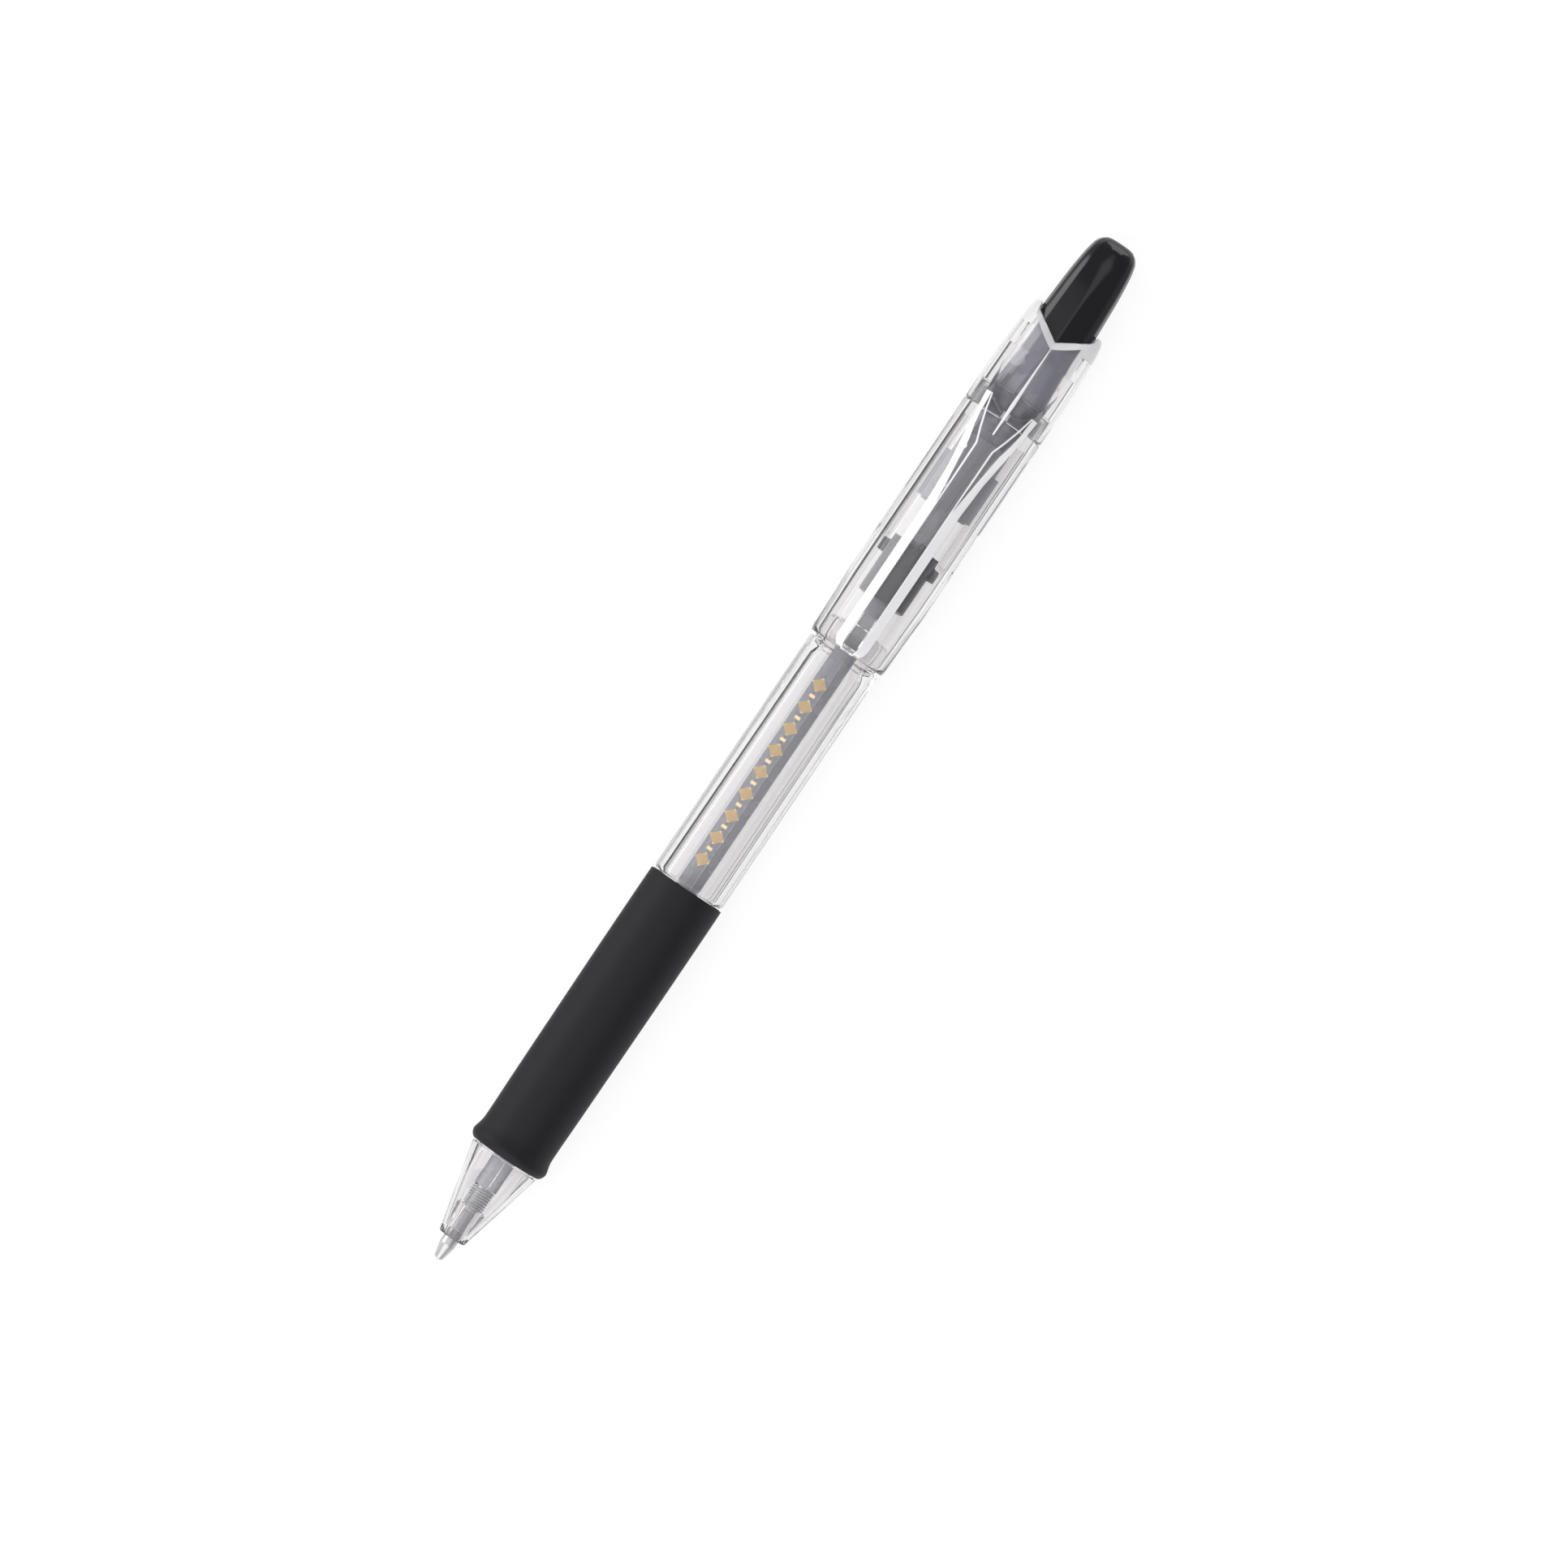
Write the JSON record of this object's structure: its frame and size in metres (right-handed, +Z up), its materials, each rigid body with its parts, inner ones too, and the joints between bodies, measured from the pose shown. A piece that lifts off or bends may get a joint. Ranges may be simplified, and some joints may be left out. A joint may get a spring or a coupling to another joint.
{
  "type": "retractable pen",
  "caption": "Clear retractable pen with a pocket clip, soft grip, press button, turning click cam, sprung refill and ball tip.",
  "frame": {"origin": "below the middle of the pen's length, on the surface that the pen lies on, with the clip upwards", "axes": "+X along the pen from the writing end to the button, +Z up through the clip, +Y across"},
  "size_m": [0.1452, 0.0106, 0.0135],
  "materials": {
    "clear_plastic": "polished clear moulded plastic",
    "grip_rubber": "soft matt rubber",
    "smoke_plastic": "glossy smoky dark moulded plastic",
    "mechanism_plastic": "satin grey moulded plastic",
    "refill_tube": "milky thin-walled tube",
    "ink": "dark wet ink",
    "follower_grease": "cloudy grease",
    "tip_metal": "turned and polished nickel silver",
    "ball_metal": "ground and polished",
    "spring_steel": "drawn steel wire"
  },
  "bodies": {
    "barrel": {"front_barrel": "clear_plastic", "grip_sleeve": "grip_rubber", "rear_barrel": "clear_plastic", "clip_cap": "clear_plastic", "return_spring": "spring_steel"},
    "clip": {"pocket_clip": "clear_plastic"},
    "knock": {"knock_button": "smoke_plastic", "knock_plunger": "mechanism_plastic"},
    "refill": {"ink_tube": "refill_tube", "ink_column": "ink", "ink_follower": "follower_grease", "writing_tip": "tip_metal"},
    "rotor": {"cam_rotor": "mechanism_plastic"},
    "ball": {"writing_ball": "ball_metal"}
  },
  "joints": [
    {"name": "knock_slide", "type": "slide", "parent": "barrel", "child": "knock", "axis": [1, 0, 0], "range_m": [-0.0009, 0.0055]},
    {"name": "refill_slide", "type": "slide", "parent": "barrel", "child": "refill", "axis": [1, 0, 0], "range_m": [-0.0009, 0.0055], "deforming": ["return_spring"]},
    {"name": "rotor_turn", "type": "hinge", "parent": "refill", "child": "rotor", "pos_m": [0.025, 0, 0.00534], "axis": [1, 0, 0], "range_deg": [-8, 46]},
    {"name": "clip_flex", "type": "hinge", "parent": "barrel", "child": "clip", "pos_m": [0.0493, 0, 0.0127], "axis": [0, 1, 0], "range_deg": [0, 5], "stiffness_Nm_per_rad": 0.3},
    {"name": "ball_roll", "type": "hinge", "parent": "refill", "child": "ball", "pos_m": [-0.07212, 0, 0.00534], "axis": [0, 1, 0], "continuous": true}
  ],
  "couplings": [
    {"joint": "refill_slide", "follows": "knock_slide", "ratio": 1},
    {"joint": "rotor_turn", "follows": "knock_slide", "rad_per_m": 142.8}
  ]
}
